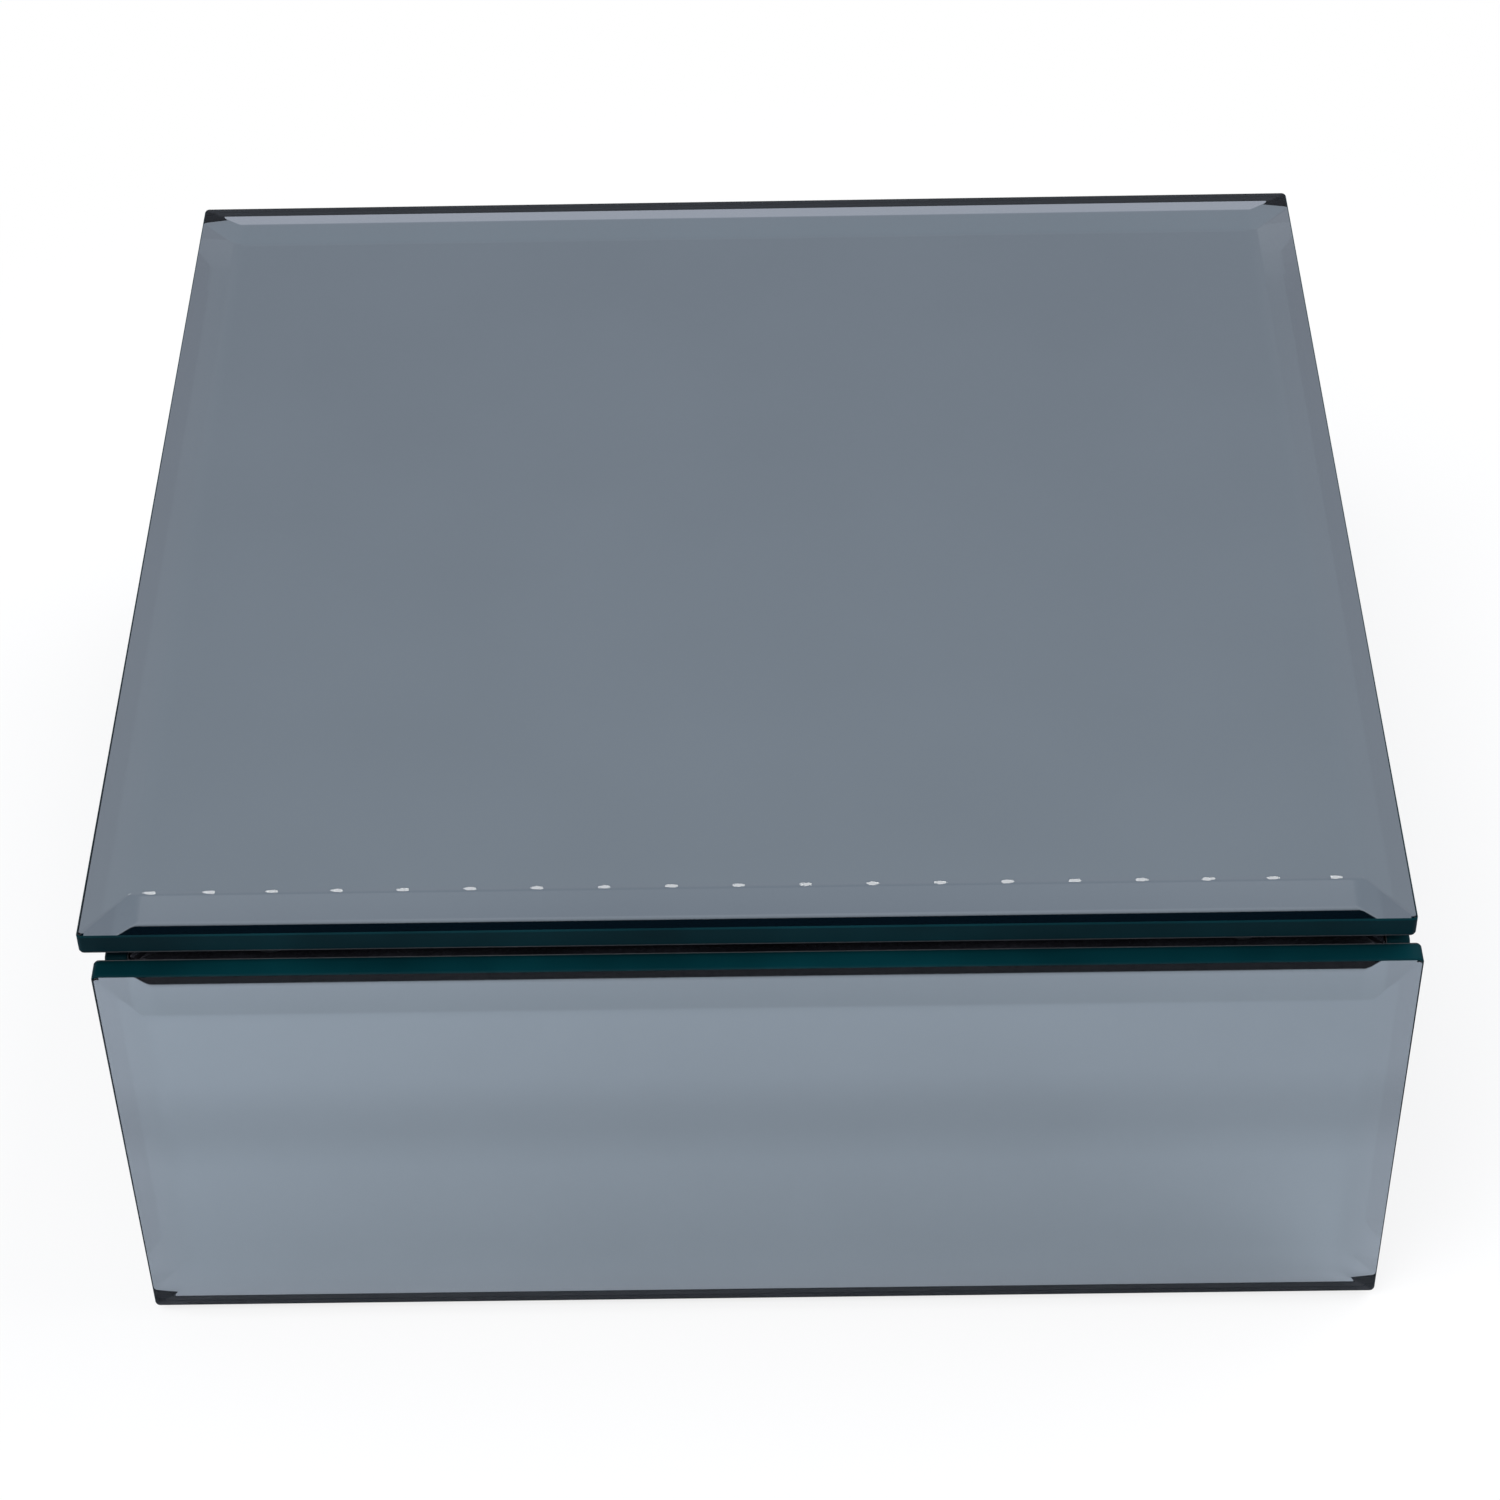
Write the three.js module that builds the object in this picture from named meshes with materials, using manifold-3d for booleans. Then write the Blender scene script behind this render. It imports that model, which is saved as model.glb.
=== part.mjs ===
// A mirrored vanity trinket box: five bevelled mirror plates on a wooden carcass, lined with
// velvet, with a lid on two small stop hinges. Millimetres, +Z up, the front faces -Y, and the
// origin is the centre of the underside.
import * as THREE from "three";
import { mergeVertices } from "three/addons/utils/BufferGeometryUtils.js";
import Module from "manifold-3d";

const wasm = await Module();
wasm.setup();

// ---- Driving dimensions ----
const bodyWidth = 150; // over the front and back mirrors' ends
const bodyDepth = 143.6; // front mirror's face to back mirror's face
const panelHeight = 59; // each upright mirror

const glassThick = 3.8; // mirror glass, sold as 4 mm
const edgeThick = 2.55; // what the bevel leaves at a mirror's rim
const bevelWidth = 5.6;
const bond = 0.3; // adhesive behind each mirror
const jointGap = 0.3; // between pieces that butt end to end
const layGap = 0.1; // between pieces laid flat on each other

const wallThick = 5; // carcass walls
const baseThick = 3;
const liningThick = 1.2; // velvet on card, on the walls' inner faces
const rimThick = 0.5; // velvet turned over the walls' tops
const feltThick = 1;
const feltInset = 2.5; // felt kept back from the box's outline
const feltCorner = 4;
const padThick = 5; // the loose pad on the floor
const padClearance = 0.5;

const lidSideOverhang = 0.2; // lid glass past the body at each side
const lidFrontInset = 3.1; // lid glass behind the front mirror's face
const lidRearOverhang = 0.3; // lid glass past the back mirror's face
const lidOffCentre = 1.1; // lid glass bonded this far to the left
const plugThick = 3.5; // board under the lid glass, which drops into the opening
const plugClearance = 1.2;
const lidLiningThick = 1.4;
const lidLiningInset = 1;

const leafThick = 0.6; // pressed steel hinge leaves
const leafGap = 0.3; // between the two leaves when shut
const hingeLength = 24;
const hingeSpacing = 90; // between the two hinges' middles
const barrelRadius = 1.5;
const barrelClearance = 0.3; // barrel to whatever swings past it
const knuckleGap = 0.4;
const lidKnuckle = 9.2; // length of the middle knuckle
const pinRadius = 0.65;
const pinClearance = 0.1;
const pinHeadRadius = 1.1;
const pinHeadThick = 0.5;
const lidOpenAngle = 100; // where the stop lug meets the fixed leaf
const stopSlack = 3; // degrees between the lug and the leaf at that angle
const lugReach = 0.8; // the lug's height above the barrel
const lugThick = 0.7;

const screwRadius = 0.8;
const screwHeadRadius = 1.6;
const screwClearance = 0.15;
const bodyScrewLength = 7;
const screwTipCover = 0.6; // board left under a lid screw's tip
const screwSpacing = 15; // between the two screws of a leaf
const slotWidth = 0.4;
const slotDepth = 0.25;
const lidScrewSetIn = 6; // from the plug's rear face
const lidLeafSetIn = 12; // how far the lid leaf lies on the plug

const bumperRadius = 2.2;
const bumperSpacing = 110;

// ---- Levels and lines that follow from them ----
const panelBottom = feltThick + 2 * layGap;
const panelTop = panelBottom + panelHeight;
const baseBottom = feltThick + layGap;
const wallBottom = baseBottom + baseThick + layGap;
const wallTop = panelTop - rimThick - layGap;
const rimTop = wallTop + layGap + rimThick;
const fixedLeafBottom = rimTop + layGap;
const swingLeafBottom = fixedLeafBottom + leafThick + leafGap;
const axisZ = swingLeafBottom - leafGap / 2;
const plugTop = swingLeafBottom + leafThick + layGap;
const lidBottom = plugTop + bond;
const lidRear = bodyDepth / 2 + lidRearOverhang;
const lidFront = -bodyDepth / 2 + lidFrontInset;
const axisToLid = Math.sqrt((barrelRadius + barrelClearance) ** 2 - (lidBottom - axisZ) ** 2);
const axisY = lidRear + axisToLid;
const wallOuter = glassThick + bond; // measured in from a mirror's face
const wallInner = wallOuter + wallThick;
const clearInner = wallInner + layGap + liningThick;
const plugRear = bodyDepth / 2 - clearInner - plugClearance;
const lidScrewLength = plugThick - layGap - screwTipCover;
const bumperThick = lidBottom - rimTop - 2 * layGap;
const segments = 24;

// ---- Finishes ----
const finish = (color, roughness, metalness) =>
  new THREE.MeshStandardMaterial({ color, roughness, metalness });
const mirrorGlass = finish(0x8a949f, 0.03, 1);
const board = finish(0x8f7350, 0.8, 0);
const velvet = finish(0x101014, 0.95, 0);
const felt = finish(0x16161a, 0.95, 0);
const nickel = finish(0xb9bcc0, 0.25, 1);
const rubber = finish(0x1b1b1d, 0.7, 0);

// ---- Solids ----
// A geometry as a manifold-3d solid.
function toSolid(geometry) {
  const bare = geometry.clone();
  bare.deleteAttribute("normal");
  bare.deleteAttribute("uv");
  const merged = mergeVertices(bare, 1e-4);
  return new wasm.Manifold(
    new wasm.Mesh({
      numProp: 3,
      vertProperties: merged.attributes.position.array,
      triVerts: new Uint32Array(merged.index.array),
    }),
  );
}

// A manifold-3d solid as a geometry.
function toGeometry(solid) {
  const mesh = solid.getMesh();
  return new THREE.BufferGeometry()
    .setAttribute("position", new THREE.BufferAttribute(mesh.vertProperties, 3))
    .setIndex(new THREE.BufferAttribute(mesh.triVerts, 1));
}

// A box from its low corner to its high corner.
function boxBetween(low, high) {
  const size = high.map((h, i) => h - low[i]);
  return new THREE.BoxGeometry(...size).translate(...low.map((l, i) => l + size[i] / 2));
}

const solidBetween = (low, high) => toSolid(boxBetween(low, high));

// A rod along X, centred on the origin unless moved.
const rodAlongX = (radius, length, x = 0) =>
  toSolid(
    new THREE.CylinderGeometry(radius, radius, length, segments)
      .rotateZ(Math.PI / 2)
      .translate(x, 0, 0),
  );

// A body of revolution about Z from [radius, height] pairs that start and end on the axis.
const turned = (profile) =>
  new THREE.LatheGeometry(
    profile.map(([r, z]) => new THREE.Vector2(r, z)),
    segments,
  ).rotateX(Math.PI / 2);

// A flat plate with its back at z = 0 and a bevel round its front face.
function bevelledPlate(width, height) {
  const rings = [
    [0, 0],
    [0, edgeThick],
    [bevelWidth, glassThick],
  ];
  const corners = [
    [-1, -1],
    [1, -1],
    [1, 1],
    [-1, 1],
  ];
  const points = rings.flatMap(([inset, z]) =>
    corners.flatMap(([x, y]) => [x * (width / 2 - inset), y * (height / 2 - inset), z]),
  );
  const faces = [0, 2, 1, 0, 3, 2, 8, 9, 10, 8, 10, 11];
  for (const ring of [0, 4])
    for (let i = 0; i < 4; i++) {
      const [a, b] = [ring + i, ring + ((i + 1) % 4)];
      faces.push(a, b, b + 4, a, b + 4, a + 4);
    }
  return new THREE.BufferGeometry()
    .setAttribute("position", new THREE.Float32BufferAttribute(points, 3))
    .setIndex(faces);
}

// A sheet with round corners, its underside at z = 0.
function roundedSheet(width, depth, corner, thick) {
  const [x, y] = [width / 2 - corner, depth / 2 - corner];
  const outline = new THREE.Shape();
  outline.absarc(x, y, corner, 0, Math.PI / 2);
  outline.absarc(-x, y, corner, Math.PI / 2, Math.PI);
  outline.absarc(-x, -y, corner, Math.PI, 1.5 * Math.PI);
  outline.absarc(x, -y, corner, 1.5 * Math.PI, 2 * Math.PI);
  return new THREE.ExtrudeGeometry(outline, { depth: thick, bevelEnabled: false, curveSegments: 8 });
}

// A countersunk screw with a crossed slot, its head's top at z = 0.
function screwGeometry(length) {
  const screw = toSolid(
    turned([
      [0, -length],
      [screwRadius * 0.5, -length + screwRadius * 0.5],
      [screwRadius, -length + screwRadius * 1.5],
      [screwRadius, -leafThick],
      [screwHeadRadius, 0],
      [0, 0],
    ]),
  );
  const [half, arm] = [slotWidth / 2, screwHeadRadius * 0.7];
  const across = solidBetween([-arm, -half, -slotDepth], [arm, half, 1]);
  const along = solidBetween([-half, -arm, -slotDepth], [half, arm, 1]);
  return toGeometry(screw.subtract(across.add(along)));
}

// The room a screw needs in a leaf or a board, from its head's top down to a depth.
const screwRoom = (length) =>
  toSolid(
    turned([
      [0, -length - screwClearance],
      [screwRadius + screwClearance, -length - screwClearance],
      [screwRadius + screwClearance, -leafThick - layGap],
      [screwHeadRadius + screwClearance, 0],
      [screwHeadRadius + screwClearance, leafThick],
      [0, leafThick],
    ]),
  );

const group = new THREE.Group();

function add(parent, name, geometry, material, x = 0, y = 0, z = 0) {
  const mesh = new THREE.Mesh(geometry, material);
  mesh.name = name;
  mesh.position.set(x, y, z);
  parent.add(mesh);
  return mesh;
}

// ---- Where the hinges and their screws are ----
const hinges = [
  ["left", -hingeSpacing / 2],
  ["right", hingeSpacing / 2],
];
const screwOffsets = [-screwSpacing / 2, screwSpacing / 2];
const bodyScrewY = bodyDepth / 2 - wallOuter - wallThick / 2;
const lidScrewY = plugRear - lidScrewSetIn;
const fixedLeafTop = fixedLeafBottom + leafThick;
const swingLeafTop = swingLeafBottom + leafThick;

// Takes the room of every hinge screw, at a line across the box, out of a solid.
function withScrewHoles(solid, y, headTop, length) {
  let cut = solid;
  for (const [, hingeX] of hinges)
    for (const offset of screwOffsets)
      cut = cut.subtract(screwRoom(length).translate([hingeX + offset, y, headTop]));
  return cut;
}

// ---- Body: one mirror, wall and lining for each side ----
const sides = [
  { name: "front", turn: 0, across: bodyWidth, out: bodyDepth / 2, long: true },
  { name: "right", turn: Math.PI / 2, across: bodyDepth, out: bodyWidth / 2, long: false },
  { name: "back", turn: Math.PI, across: bodyWidth, out: bodyDepth / 2, long: true },
  { name: "left", turn: -Math.PI / 2, across: bodyDepth, out: bodyWidth / 2, long: false },
];

// Each side is drawn facing -Y and turned about Z. The long sides run over the short sides' ends.
for (const { name, turn, across, out, long } of sides) {
  const side = new THREE.Group();
  side.rotation.z = turn;
  group.add(side);

  const mirrorLength = long ? across : across - 2 * (glassThick + jointGap);
  const mirror = bevelledPlate(mirrorLength, panelHeight).rotateX(Math.PI / 2);
  add(side, `${name}_mirror`, mirror, mirrorGlass, 0, -out + glassThick, panelBottom + panelHeight / 2);

  const wallEnds = long ? wallOuter : wallInner + jointGap;
  const wallHalf = across / 2 - wallEnds;
  let wall = solidBetween(
    [-wallHalf, -out + wallOuter, wallBottom],
    [wallHalf, -out + wallInner, wallTop],
  );
  const liningHalf = across / 2 - (long ? wallInner + 3 * layGap : clearInner + layGap);
  const sheet = solidBetween(
    [-liningHalf, -out + wallInner + layGap, wallBottom],
    [liningHalf, -out + clearInner, rimTop],
  );
  const rim = solidBetween(
    [-wallHalf, -out + wallOuter, wallTop + layGap],
    [wallHalf, -out + wallInner + 2 * layGap, rimTop],
  );
  let lining = sheet.add(rim);
  if (name === "back") {
    // This side is drawn turned half round, so its holes are cut at -Y.
    wall = withScrewHoles(wall, -bodyScrewY, fixedLeafTop, bodyScrewLength);
    lining = withScrewHoles(lining, -bodyScrewY, fixedLeafTop, bodyScrewLength);
  }
  add(side, `${name}_wall`, toGeometry(wall), board);
  add(side, `${name}_lining`, toGeometry(lining), velvet);
}

// ---- Body: floor ----
const baseHalf = [bodyWidth / 2 - wallOuter, bodyDepth / 2 - wallOuter];
add(
  group,
  "base_board",
  boxBetween([-baseHalf[0], -baseHalf[1], baseBottom], [...baseHalf, baseBottom + baseThick]),
  board,
);
const feltSheet = roundedSheet(
  bodyWidth - 2 * feltInset,
  bodyDepth - 2 * feltInset,
  feltCorner,
  feltThick,
);
add(group, "base_felt", feltSheet, felt);
const padHalf = [bodyWidth / 2 - clearInner - padClearance, bodyDepth / 2 - clearInner - padClearance];
add(
  group,
  "floor_pad",
  boxBetween([-padHalf[0], -padHalf[1], wallBottom], [...padHalf, wallBottom + padThick]),
  velvet,
);

// ---- Body: two bumpers under the lid's front ----
const bumper = turned([
  [0, 0],
  [bumperRadius, 0],
  [bumperRadius, bumperThick * 0.6],
  [bumperRadius * 0.85, bumperThick * 0.9],
  [bumperRadius * 0.5, bumperThick],
  [0, bumperThick],
]);
const bumperY = -bodyDepth / 2 + wallOuter + wallThick / 2;
for (const [name, sign] of [
  ["bumper_left", -1],
  ["bumper_right", 1],
])
  add(group, name, bumper, rubber, (sign * bumperSpacing) / 2, bumperY, rimTop + layGap);

// ---- Lid ----
const lidWidth = bodyWidth + 2 * lidSideOverhang;
add(
  group,
  "lid_mirror",
  bevelledPlate(lidWidth, lidRear - lidFront),
  mirrorGlass,
  -lidOffCentre,
  (lidRear + lidFront) / 2,
  lidBottom,
);
const plugHalf = bodyWidth / 2 - clearInner - plugClearance;
let plug = solidBetween([-plugHalf, -plugRear, plugTop - plugThick], [plugHalf, plugRear, plugTop]);
for (const [, hingeX] of hinges) {
  const half = hingeLength / 2 + layGap;
  const pocket = solidBetween(
    [hingeX - half, plugRear - lidLeafSetIn - layGap, swingLeafBottom - layGap],
    [hingeX + half, plugRear + 1, plugTop + 1],
  );
  plug = plug.subtract(pocket);
}
plug = withScrewHoles(plug, lidScrewY, swingLeafTop, lidScrewLength);
add(group, "lid_board", toGeometry(plug), board);
const lidLiningHalf = [plugHalf - lidLiningInset, plugRear - lidLiningInset];
const lidLiningTop = plugTop - plugThick - layGap;
add(
  group,
  "lid_lining",
  boxBetween(
    [-lidLiningHalf[0], -lidLiningHalf[1], lidLiningTop - lidLiningThick],
    [...lidLiningHalf, lidLiningTop],
  ),
  velvet,
);

// ---- Hinges, drawn with the pin's axis on X through the origin ----
const halfHinge = hingeLength / 2;
const halfLidKnuckle = lidKnuckle / 2;
const bodyKnuckle = halfHinge - halfLidKnuckle - knuckleGap;
const bore = rodAlongX(pinRadius + pinClearance, hingeLength + 2);
const keepOff = barrelRadius + barrelClearance;

// The leaf that is screwed to the back wall, with the two outer knuckles.
function fixedLeaf() {
  const rear = bodyDepth / 2 - wallInner - axisY + 2 * layGap;
  const [low, high] = [fixedLeafBottom - axisZ, fixedLeafTop - axisZ];
  let leaf = solidBetween([-halfHinge, rear, low], [halfHinge, 0, high]);
  for (const sign of [-1, 1])
    leaf = leaf.add(rodAlongX(barrelRadius, bodyKnuckle, sign * (halfHinge - bodyKnuckle / 2)));
  const middle = halfLidKnuckle + knuckleGap;
  leaf = leaf.subtract(solidBetween([-middle, -keepOff, -3], [middle, 3, 3])).subtract(bore);
  for (const offset of screwOffsets)
    leaf = leaf.subtract(screwRoom(leafThick).translate([offset, bodyScrewY - axisY, high]));
  return leaf;
}

// The lug on the swinging knuckle that meets the fixed leaf's end when the lid is fully open.
// The leaf's end is keepOff in front of the axis, so its lower corner sets the lug's angle.
function stopLug() {
  const leafCorner = Math.atan2(axisZ - fixedLeafBottom, keepOff);
  const lugHalfAngle = Math.atan2(lugThick / 2, keepOff);
  const opened = THREE.MathUtils.degToRad(lidOpenAngle + stopSlack);
  const turn = opened + leafCorner + lugHalfAngle;
  const lug = boxBetween(
    [-halfLidKnuckle, -barrelRadius - lugReach, -lugThick / 2],
    [halfLidKnuckle, -(barrelRadius + pinRadius) / 2, lugThick / 2],
  );
  return toSolid(lug.rotateX(turn));
}

// The leaf that is screwed to the lid's board, with the middle knuckle and its stop lug.
function swingLeaf() {
  const [low, high] = [swingLeafBottom - axisZ, swingLeafTop - axisZ];
  const front = plugRear - lidLeafSetIn - axisY;
  const plate = solidBetween([-halfHinge, front, low], [halfHinge, -keepOff, high]);
  const tongue = solidBetween([-halfLidKnuckle, -keepOff - 1, low], [halfLidKnuckle, 0, high]);
  let leaf = plate.add(tongue).add(rodAlongX(barrelRadius, lidKnuckle)).add(stopLug()).subtract(bore);
  for (const offset of screwOffsets)
    leaf = leaf.subtract(screwRoom(leafThick).translate([offset, lidScrewY - axisY, high]));
  return leaf;
}

const pin = turned([
  [0, -halfHinge - layGap - pinHeadThick],
  [pinHeadRadius * 0.7, -halfHinge - layGap - pinHeadThick],
  [pinHeadRadius, -halfHinge - layGap - pinHeadThick * 0.5],
  [pinHeadRadius, -halfHinge - layGap],
  [pinRadius, -halfHinge - layGap],
  [pinRadius, halfHinge + layGap],
  [pinHeadRadius, halfHinge + layGap],
  [pinHeadRadius, halfHinge + layGap + pinHeadThick * 0.5],
  [pinHeadRadius * 0.7, halfHinge + layGap + pinHeadThick],
  [0, halfHinge + layGap + pinHeadThick],
]).rotateY(Math.PI / 2);

for (const [side, hingeX] of hinges) {
  const hinge = new THREE.Group();
  hinge.position.set(hingeX, axisY, axisZ);
  group.add(hinge);
  add(hinge, `hinge_fixed_leaf_${side}`, toGeometry(fixedLeaf()), nickel);
  add(hinge, `hinge_lid_leaf_${side}`, toGeometry(swingLeaf()), nickel);
  add(hinge, `hinge_pin_${side}`, pin, nickel);
  screwOffsets.forEach((offset, i) => {
    const [bodyName, lidName] = [`body_screw_${side}_${i + 1}`, `lid_screw_${side}_${i + 1}`];
    const x = hingeX + offset;
    add(group, bodyName, screwGeometry(bodyScrewLength), nickel, x, bodyScrewY, fixedLeafTop);
    add(group, lidName, screwGeometry(lidScrewLength), nickel, x, lidScrewY, swingLeafTop);
  });
}

export default group;
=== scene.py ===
"""A mirrored vanity trinket box: bevelled mirror plates, velvet lining and stop hinges, built
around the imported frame. Metres; +Z up; the front faces -Y."""
from math import asin, atan2, cos, degrees, pi, radians, sin, tan

import bmesh
import bpy
import numpy as np
from bpy.props import FloatProperty, FloatVectorProperty, IntProperty, PointerProperty
from bpy.types import Operator, Panel, PropertyGroup
from mathutils import Matrix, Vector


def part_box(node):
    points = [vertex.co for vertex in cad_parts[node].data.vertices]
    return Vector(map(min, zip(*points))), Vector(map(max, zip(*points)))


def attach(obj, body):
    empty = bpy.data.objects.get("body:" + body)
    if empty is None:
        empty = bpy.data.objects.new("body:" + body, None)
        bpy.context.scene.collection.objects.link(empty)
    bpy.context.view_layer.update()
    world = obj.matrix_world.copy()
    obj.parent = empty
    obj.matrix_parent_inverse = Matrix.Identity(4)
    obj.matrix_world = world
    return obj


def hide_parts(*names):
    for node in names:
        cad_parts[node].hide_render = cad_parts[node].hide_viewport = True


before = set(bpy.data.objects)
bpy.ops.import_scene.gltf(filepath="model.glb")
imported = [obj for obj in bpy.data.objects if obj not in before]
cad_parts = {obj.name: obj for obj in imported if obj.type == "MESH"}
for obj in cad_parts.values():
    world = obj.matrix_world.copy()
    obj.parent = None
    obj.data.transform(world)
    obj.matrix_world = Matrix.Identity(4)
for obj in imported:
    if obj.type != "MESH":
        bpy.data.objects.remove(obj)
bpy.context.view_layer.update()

bl_info = {
    "name": "Mirrored Trinket Box",
    "version": (1, 0, 0),
    "blender": (4, 5, 0),
    "location": "View3D > Sidebar > Trinket Box",
    "description": "Builds the mirrors, linings, hinges and studio of a mirrored trinket box",
    "category": "Object",
}

MM = 0.001
X, Y, Z = np.eye(3)

# Each mirror: its body, and the two directions across it and the one out of its face.
MIRRORS = {
    "lid_mirror": ("lid", X, Y, Z),
    "front_mirror": ("box", X, Z, -Y),
    "back_mirror": ("box", -X, Z, Y),
    "left_mirror": ("box", -Y, Z, -X),
    "right_mirror": ("box", Y, Z, X),
}


# ---- Sizes and colours that a user would change ----


def length(name, description, millimetres):
    """A length that a user may change, given in millimetres."""
    return FloatProperty(name=name, description=description, default=millimetres * MM, unit="LENGTH")


def turning(name, description, angle):
    """An angle that a user may change, given in degrees."""
    return FloatProperty(name=name, description=description, default=radians(angle), subtype="ANGLE")


def colour(name, description, *tone):
    """A colour that a user may change, given as red, green and blue."""
    return FloatVectorProperty(name=name, description=description, default=tone, subtype="COLOR")


class GlassSettings(PropertyGroup):
    """The bevelled mirror plates."""

    rim: length("Rim", "Glass left at the plate's edge", 2.55)
    bevel: length("Bevel", "Width of the bevel", 5.6)
    arris: length("Arris", "Width of the ground corners", 0.15)
    ridge: length("Ridge", "Half the width of the soft ridge between face and bevel", 0.5)
    corner: length("Corner", "Radius of the plate's corners", 0.6)
    mitre: length("Mitre", "Radius of the bevel's corners at the ridge", 0.25)
    ridge_steps: IntProperty(name="Ridge Steps", description="Facets over the ridge", default=8)
    corner_steps: IntProperty(name="Corner Steps", description="Facets round a corner", default=6)
    paint: length("Paint", "Thickness of the backing paint", 0.08)


class ClothSettings(PropertyGroup):
    """The velvet linings, the pads and the felt underneath."""

    velvet: colour("Velvet", "Colour of the velvet", 0.006, 0.006, 0.0075)
    felt: colour("Felt", "Colour of the felt", 0.02, 0.02, 0.023)
    mitre_gap: length("Mitre Gap", "Space between two linings at a corner", 0.06)
    lap: length("Lap", "How far a lining reaches past the wall, against the glass", 0.22)
    fold: length("Fold", "Radius where a lining turns over the wall's top", 1.2)
    tuck: length("Tuck", "Radius of the lining's thin edges", 0.24)
    wave: length("Wave", "Height of the slow waves in the cloth", 0.16)
    crown: length("Crown", "How far a pad's middle stands up", 0.7)
    pad_roll: length("Pad Roll", "Radius of the pad's edges", 1.6)
    pad_corner: length("Pad Corner", "Radius of the pad's corners", 3.5)
    shrink: length("Shrink", "How much smaller the pad starts before it is inflated", 0.5)
    voxel: length("Voxel", "Mesh size of the inflated pad", 1.7)
    pressure: FloatProperty(name="Pressure", description="Pressure inside the pad", default=4.0)
    felt_corner: length("Felt Corner", "Radius of the felt's corners", 4.0)
    fray: length("Fray", "Depth of the felt's uneven edge", 0.06)


class HingeSettings(PropertyGroup):
    """The two stop hinges and their screws."""

    leaf: length("Leaf", "Thickness of a leaf", 0.6)
    leaf_gap: length("Leaf Gap", "Space between shut leaves", 0.3)
    corner: length("Leaf Corner", "Radius of a leaf's corners", 1.6)
    middle: length("Middle Knuckle", "Length of the lid's knuckle", 9.2)
    knuckle_gap: length("Knuckle Gap", "Space between knuckles", 0.4)
    keep_off: length("Keep Off", "Leaf's end to the pin's axis", 1.8)
    pin: length("Pin", "Radius of the pin", 0.65)
    bore: length("Bore", "Radius inside a knuckle", 0.75)
    stop_angle: turning("Stop Angle", "Turn of the stop lug from the leaf's side", 136.6)
    stop_reach: length("Stop Reach", "Height of the stop lug", 0.8)
    stop_thick: length("Stop Thickness", "Thickness of the stop lug", 0.7)
    head: length("Screw Head", "Radius of a screw's head", 1.6)
    shank: length("Screw Shank", "Radius of a screw's shank", 0.8)
    pitch: length("Thread Pitch", "Distance between threads", 0.7)
    clearance: length("Screw Clearance", "Room round a screw's head", 0.12)
    slot_width: length("Slot Width", "Width of the crossed slot", 0.4)
    slot_depth: length("Slot Depth", "Depth of the crossed slot", 0.25)
    break_edge: length("Broken Edge", "Width of the broken edges", 0.06)


class StudioSettings(PropertyGroup):
    """The camera."""

    lens: length("Lens", "Focal length", 90.15)
    down: turning("Tilt Down", "Camera's angle below level", 43.194)
    turn: turning("Turn", "Camera's turn about the vertical", -0.816)
    roll: turning("Roll", "Camera's roll", -1.351)
    camera: FloatVectorProperty(
        name="Camera",
        description="Camera's place, measured from the middle of the front mirror's lower edge",
        default=(4.02 * MM, -290.94 * MM, 365.8 * MM),
        subtype="TRANSLATION",
    )


# ---- Meshes ----


def add_object(name, data):
    """A new object in the scene, with its data."""
    item = bpy.data.objects.new(name, data)
    bpy.context.scene.collection.objects.link(item)
    return item


def evaluated(item):
    """An object as its modifiers make it."""
    return item.evaluated_get(bpy.context.evaluated_depsgraph_get())


def new_mesh(name, points, faces):
    """A mesh from rows of points and lists of vertex numbers."""
    mesh = bpy.data.meshes.new(name)
    mesh.from_pydata(np.asarray(points, float).tolist(), [], faces)
    return mesh


def new_piece(name, points, faces, materials, body, slot, node=None, normals=None, indices=None):
    """A finished piece: its mesh, materials and body, and the CAD node it replaces. The slot is not
    used.
    """
    mesh = new_mesh(name, points, faces)
    if normals is None:
        face_outwards(mesh)
    for material in materials:
        mesh.materials.append(material)
    if indices is not None:
        mesh.polygons.foreach_set("material_index", np.asarray(indices, np.int32))
    mesh.shade_smooth()
    if normals is not None:
        mesh.normals_split_custom_set(np.asarray(normals, float).tolist())
    piece = add_object(name, mesh)
    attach(piece, body)
    if node:
        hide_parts(node)
    return piece


def points_of(mesh):
    """A mesh's points as rows of an array."""
    points = np.zeros(3 * len(mesh.vertices))
    mesh.vertices.foreach_get("co", points)
    return points.reshape(-1, 3)


def face_outwards(mesh):
    """Turns every face of a closed mesh outwards."""
    work = bmesh.new()
    work.from_mesh(mesh)
    bmesh.ops.recalc_face_normals(work, faces=work.faces)
    work.to_mesh(mesh)
    work.free()


def ring_quads(rings, around):
    """The quads between successive closed rings of points, as an array of vertex numbers."""
    ring, step = np.meshgrid(np.arange(rings - 1), np.arange(around), indexing="ij")
    after = (step + 1) % around
    low, high = ring * around, (ring + 1) * around
    return np.stack([low + step, low + after, high + after, high + step], -1).reshape(-1, 4)


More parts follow.
